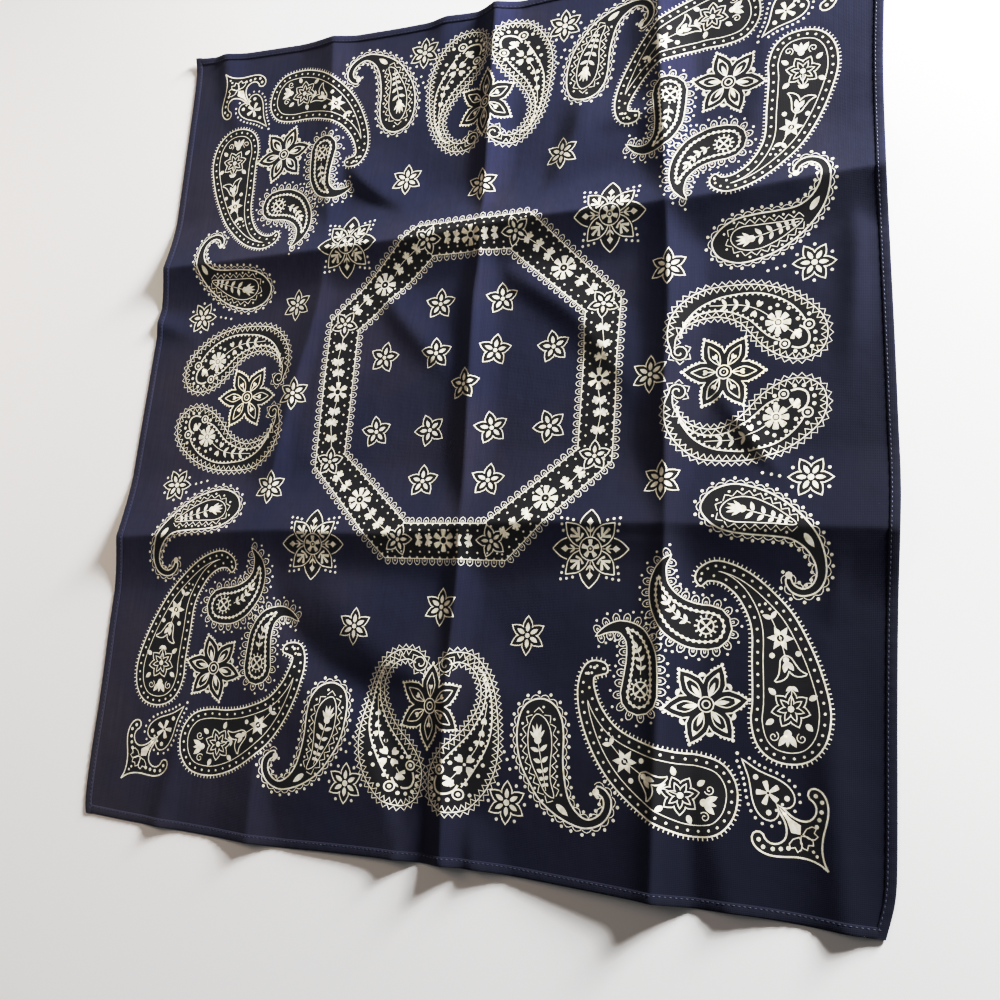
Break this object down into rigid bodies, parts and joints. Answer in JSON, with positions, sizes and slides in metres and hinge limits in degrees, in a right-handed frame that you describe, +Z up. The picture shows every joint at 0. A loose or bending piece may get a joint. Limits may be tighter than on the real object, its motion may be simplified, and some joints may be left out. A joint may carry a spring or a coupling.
{
  "type": "bandana",
  "caption": "Printed cotton bandana opened out flat, with crossing storage creases and a narrow turned hem on every side.",
  "frame": {"origin": "on the surface that the cloth lies on, under the middle of its outline", "axes": "+Z up from the surface, +Y to the top edge of the picture, along the longer side of the cloth, +X to its right edge"},
  "size_m": [0.5034, 0.5628, 0.0102],
  "materials": {
    "cloth": "plain-woven cotton, dyed navy, matt",
    "hem": "the same navy cotton, turned double and stitched",
    "print": "cream print on the cloth, matt"
  },
  "bodies": {
    "root": {"panel": "cloth", "hem_left": "hem", "hem_right": "hem", "hem_bottom": "hem", "hem_top": "hem"}
  },
  "joints": []
}
